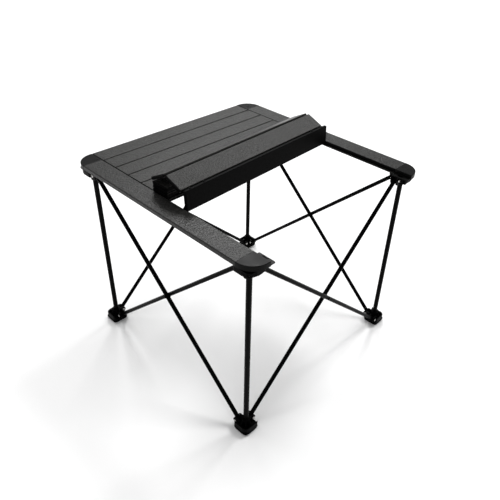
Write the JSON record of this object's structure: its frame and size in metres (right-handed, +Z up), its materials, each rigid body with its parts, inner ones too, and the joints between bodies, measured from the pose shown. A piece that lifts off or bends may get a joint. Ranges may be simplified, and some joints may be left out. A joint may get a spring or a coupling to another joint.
{
  "type": "camp kitchen table",
  "caption": "Low square camp table: a mat of ribbed metal slats, its front half folded back, on side rails over a crossed-strut folding frame with four legs.",
  "frame": {"origin": "on the floor, under the centre of the table top", "axes": "+X runs along the slats to the right, +Y to the back, +Z up; the open, folded-back half is at the front, -Y"},
  "size_m": [0.4, 0.4096, 0.3781],
  "materials": {
    "slat_paint": "dark grey hammertone powder coat on extruded aluminium",
    "rail_paint": "dark grey fine-textured powder coat on extruded aluminium",
    "corner_plastic": "smooth dark grey moulded nylon",
    "tube_paint": "black satin powder-coated aluminium tube",
    "joint_plastic": "black moulded nylon",
    "pad_rubber": "black rubber",
    "rivet_steel": "plain steel"
  },
  "bodies": {
    "base_front_left": {"foot_front_left": "joint_plastic", "foot_pad_front_left": "pad_rubber", "leg_front_left": "tube_paint"},
    "hub_front_left": {"hub_front_left": "joint_plastic"},
    "foot_front_right": {"foot_front_right": "joint_plastic", "foot_pad_front_right": "pad_rubber", "leg_front_right": "tube_paint"},
    "hub_front_right": {"hub_front_right": "joint_plastic"},
    "foot_back_right": {"foot_back_right": "joint_plastic", "foot_pad_back_right": "pad_rubber", "leg_back_right": "tube_paint"},
    "hub_back_right": {"hub_back_right": "joint_plastic"},
    "foot_back_left": {"foot_back_left": "joint_plastic", "foot_pad_back_left": "pad_rubber", "leg_back_left": "tube_paint"},
    "hub_back_left": {"hub_back_left": "joint_plastic"},
    "strut_front_outer": {"strut_front_outer": "tube_paint"},
    "strut_front_inner": {"strut_front_inner": "tube_paint", "crossing_pin_front": "rivet_steel"},
    "strut_right_outer": {"strut_right_outer": "tube_paint"},
    "strut_right_inner": {"strut_right_inner": "tube_paint", "crossing_pin_right": "rivet_steel"},
    "strut_back_outer": {"strut_back_outer": "tube_paint", "crossing_pin_back": "rivet_steel"},
    "strut_back_inner": {"strut_back_inner": "tube_paint"},
    "strut_left_outer": {"strut_left_outer": "tube_paint", "crossing_pin_left": "rivet_steel"},
    "strut_left_inner": {"strut_left_inner": "tube_paint"},
    "top": {"rail_left": "rail_paint", "rail_right": "rail_paint", "corner_front_left": "corner_plastic", "corner_front_right": "corner_plastic", "corner_back_right": "corner_plastic", "corner_back_left": "corner_plastic", "slat_01": "slat_paint"},
    "slat_02": {"slat_02": "slat_paint"},
    "slat_03": {"slat_03": "slat_paint"},
    "slat_04": {"slat_04": "slat_paint"},
    "slat_05_06": {"slat_05": "slat_paint", "slat_06": "slat_paint"},
    "slat_07": {"slat_07": "slat_paint"},
    "slat_08": {"slat_08": "slat_paint"},
    "slat_09": {"slat_09": "slat_paint"},
    "slat_10": {"slat_10": "slat_paint"},
    "slat_11": {"slat_11": "slat_paint"},
    "slat_12": {"slat_12": "slat_paint"}
  },
  "joints": [
    {"name": "frame_fold", "type": "hinge", "parent": "base_front_left", "child": "strut_front_inner", "pos_m": [-0.1674, -0.17665, 0.01226], "axis": [0, -1, 0], "range_deg": [0, 42]},
    {"name": "front_crossing", "type": "hinge", "parent": "strut_front_inner", "child": "strut_front_outer", "pos_m": [0, -0.1804, 0.167], "axis": [0, -1, 0], "range_deg": [-84.5, 0]},
    {"name": "front_right_foot_hinge", "type": "hinge", "parent": "strut_front_outer", "child": "foot_front_right", "pos_m": [0.1674, -0.18415, 0.01226], "axis": [0, -1, 0], "range_deg": [0, 42.5]},
    {"name": "front_right_hub_hinge", "type": "hinge", "parent": "strut_front_inner", "child": "hub_front_right", "pos_m": [0.1674, -0.17665, 0.32174], "axis": [0, -1, 0], "range_deg": [-42.5, 0]},
    {"name": "front_left_hub_hinge", "type": "hinge", "parent": "strut_front_outer", "child": "hub_front_left", "pos_m": [-0.1674, -0.18415, 0.32174], "axis": [0, -1, 0], "range_deg": [0, 42.5]},
    {"name": "left_foot_hinge", "type": "hinge", "parent": "base_front_left", "child": "strut_left_outer", "pos_m": [-0.18415, -0.1674, 0.01226], "axis": [1, 0, 0], "range_deg": [0, 42.5]},
    {"name": "left_crossing", "type": "hinge", "parent": "strut_left_outer", "child": "strut_left_inner", "pos_m": [-0.1804, 0, 0.167], "axis": [1, 0, 0], "range_deg": [-84.5, 0]},
    {"name": "back_left_foot_hinge", "type": "hinge", "parent": "strut_left_inner", "child": "foot_back_left", "pos_m": [-0.17665, 0.1674, 0.01226], "axis": [1, 0, 0], "range_deg": [0, 42.5]},
    {"name": "back_left_hub_hinge", "type": "hinge", "parent": "strut_left_outer", "child": "hub_back_left", "pos_m": [-0.18415, 0.1674, 0.32174], "axis": [1, 0, 0], "range_deg": [-42.5, 0]},
    {"name": "right_foot_hinge", "type": "hinge", "parent": "foot_front_right", "child": "strut_right_inner", "pos_m": [0.17665, -0.1674, 0.01226], "axis": [1, 0, 0], "range_deg": [0, 42.5]},
    {"name": "right_crossing", "type": "hinge", "parent": "strut_right_inner", "child": "strut_right_outer", "pos_m": [0.1804, 0, 0.167], "axis": [1, 0, 0], "range_deg": [-84.5, 0]},
    {"name": "back_right_foot_hinge", "type": "hinge", "parent": "strut_right_outer", "child": "foot_back_right", "pos_m": [0.18415, 0.1674, 0.01226], "axis": [1, 0, 0], "range_deg": [0, 42.5]},
    {"name": "back_right_hub_hinge", "type": "hinge", "parent": "strut_right_inner", "child": "hub_back_right", "pos_m": [0.17665, 0.1674, 0.32174], "axis": [1, 0, 0], "range_deg": [-42.5, 0]},
    {"name": "back_foot_hinge", "type": "hinge", "parent": "foot_back_left", "child": "strut_back_outer", "pos_m": [-0.1674, 0.18415, 0.01226], "axis": [0, -1, 0], "range_deg": [0, 42.5]},
    {"name": "back_crossing", "type": "hinge", "parent": "strut_back_outer", "child": "strut_back_inner", "pos_m": [0, 0.1804, 0.167], "axis": [0, -1, 0], "range_deg": [-84.5, 0]},
    {"name": "top_lift", "type": "slide", "parent": "hub_front_left", "child": "top", "axis": [0, 0, 1], "range_m": [0, 0.15]},
    {"name": "back_mat_fold", "type": "hinge", "parent": "top", "child": "slat_02", "pos_m": [0, 0.17062, 0.34015], "axis": [-1, 0, 0], "range_deg": [0, 180]},
    {"name": "slat_03_hinge", "type": "hinge", "parent": "slat_02", "child": "slat_03", "pos_m": [0, 0.1365, 0.33435], "axis": [1, 0, 0], "range_deg": [0, 180.5]},
    {"name": "slat_04_hinge", "type": "hinge", "parent": "slat_03", "child": "slat_04", "pos_m": [0, 0.10237, 0.34015], "axis": [-1, 0, 0], "range_deg": [0, 180.5]},
    {"name": "slat_05_hinge", "type": "hinge", "parent": "slat_04", "child": "slat_05_06", "pos_m": [0, 0.06825, 0.33435], "axis": [1, 0, 0], "range_deg": [0, 180.5]},
    {"name": "front_mat_fold", "type": "hinge", "parent": "slat_05_06", "child": "slat_07", "pos_m": [0, 0.0045, 0.34015], "axis": [0.9998, 0.0201, 0], "range_deg": [0, 180]},
    {"name": "slat_08_hinge", "type": "hinge", "parent": "slat_07", "child": "slat_08", "pos_m": [-0.00155, 0.04309, 0.34595], "axis": [0.9992, 0.0401, 0], "range_deg": [-180.5, 0]},
    {"name": "slat_09_hinge", "type": "hinge", "parent": "slat_08", "child": "slat_09", "pos_m": [-0.00018, 0.009, 0.35175], "axis": [0.9992, 0.0401, 0], "range_deg": [0, 180.5]},
    {"name": "slat_10_hinge", "type": "hinge", "parent": "slat_09", "child": "slat_10", "pos_m": [-0.00155, 0.04309, 0.35755], "axis": [0.9992, 0.0401, 0], "range_deg": [-152.5, 0]},
    {"name": "slat_11_hinge", "type": "hinge", "parent": "slat_10", "child": "slat_11", "pos_m": [-0.00034, 0.01299, 0.37357], "axis": [0.9992, 0.0401, 0], "range_deg": [-51.8, 0]},
    {"name": "slat_12_hinge", "type": "hinge", "parent": "slat_11", "child": "slat_12", "pos_m": [0.00134, -0.02878, 0.35856], "axis": [0.9992, 0.0401, 0], "range_deg": [-63.4, 0]}
  ],
  "couplings": [
    {"joint": "front_crossing", "follows": "frame_fold", "ratio": -2},
    {"joint": "front_right_foot_hinge", "follows": "frame_fold", "ratio": 1},
    {"joint": "front_right_hub_hinge", "follows": "frame_fold", "ratio": -1},
    {"joint": "front_left_hub_hinge", "follows": "frame_fold", "ratio": 1},
    {"joint": "left_foot_hinge", "follows": "frame_fold", "ratio": 1},
    {"joint": "left_crossing", "follows": "frame_fold", "ratio": -2},
    {"joint": "back_left_foot_hinge", "follows": "frame_fold", "ratio": 1},
    {"joint": "back_left_hub_hinge", "follows": "frame_fold", "ratio": -1},
    {"joint": "right_foot_hinge", "follows": "frame_fold", "ratio": 1},
    {"joint": "right_crossing", "follows": "frame_fold", "ratio": -2},
    {"joint": "back_right_foot_hinge", "follows": "frame_fold", "ratio": 1},
    {"joint": "back_right_hub_hinge", "follows": "frame_fold", "ratio": -1},
    {"joint": "back_foot_hinge", "follows": "frame_fold", "ratio": 1},
    {"joint": "back_crossing", "follows": "frame_fold", "ratio": -2},
    {"joint": "slat_03_hinge", "follows": "back_mat_fold", "ratio": 1},
    {"joint": "slat_04_hinge", "follows": "back_mat_fold", "ratio": 1},
    {"joint": "slat_05_hinge", "follows": "back_mat_fold", "ratio": 1},
    {"joint": "slat_08_hinge", "follows": "front_mat_fold", "ratio": -1},
    {"joint": "slat_09_hinge", "follows": "front_mat_fold", "ratio": 1},
    {"joint": "slat_10_hinge", "follows": "front_mat_fold", "ratio": -0.84444},
    {"joint": "slat_11_hinge", "follows": "front_mat_fold", "ratio": -0.285},
    {"joint": "slat_12_hinge", "follows": "front_mat_fold", "ratio": -0.34944}
  ]
}
